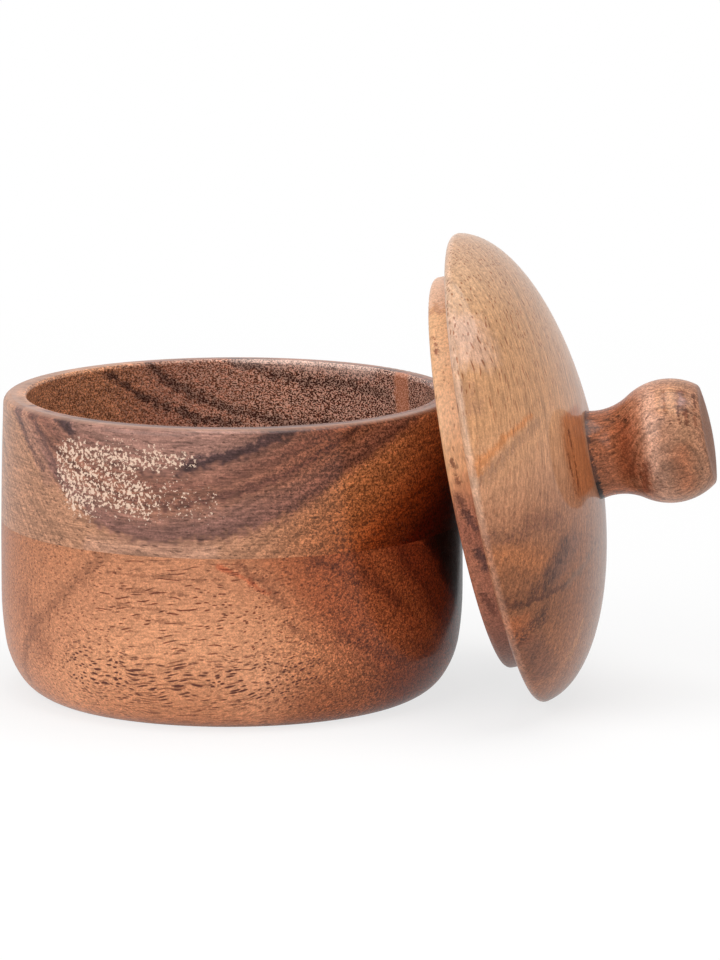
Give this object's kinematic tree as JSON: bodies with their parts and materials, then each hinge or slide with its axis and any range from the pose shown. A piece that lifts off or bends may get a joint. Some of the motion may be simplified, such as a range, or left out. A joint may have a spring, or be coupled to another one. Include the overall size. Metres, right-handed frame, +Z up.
{
  "type": "storage canister",
  "caption": "Round turned-wood storage canister with a domed, waist-knobbed lid that stands beside the jar and leans on its rim.",
  "frame": {"origin": "centre of the jar's flat foot, on the table", "axes": "+Z up along the jar's axis, +X towards the side where the lid leans, -Y towards the viewer of the picture"},
  "size_m": [0.1855, 0.1345, 0.1203],
  "materials": {
    "block_acacia": "clear lacquer",
    "ring_acacia": "clear lacquer",
    "dome_acacia": "clear lacquer",
    "insert_acacia": "clear lacquer",
    "knob_acacia": "clear lacquer",
    "dowel_beech": "bare, glued"
  },
  "bodies": {
    "jar": {"lower_block": "block_acacia", "upper_ring": "ring_acacia"},
    "lid": {"lid_dome": "dome_acacia", "lid_insert": "insert_acacia", "knob": "knob_acacia", "knob_dowel": "dowel_beech"}
  },
  "joints": [
    {"name": "lid_lift", "type": "slide", "parent": "jar", "child": "lid", "axis": [0, 0, 1], "range_m": [0, 0.1]}
  ]
}
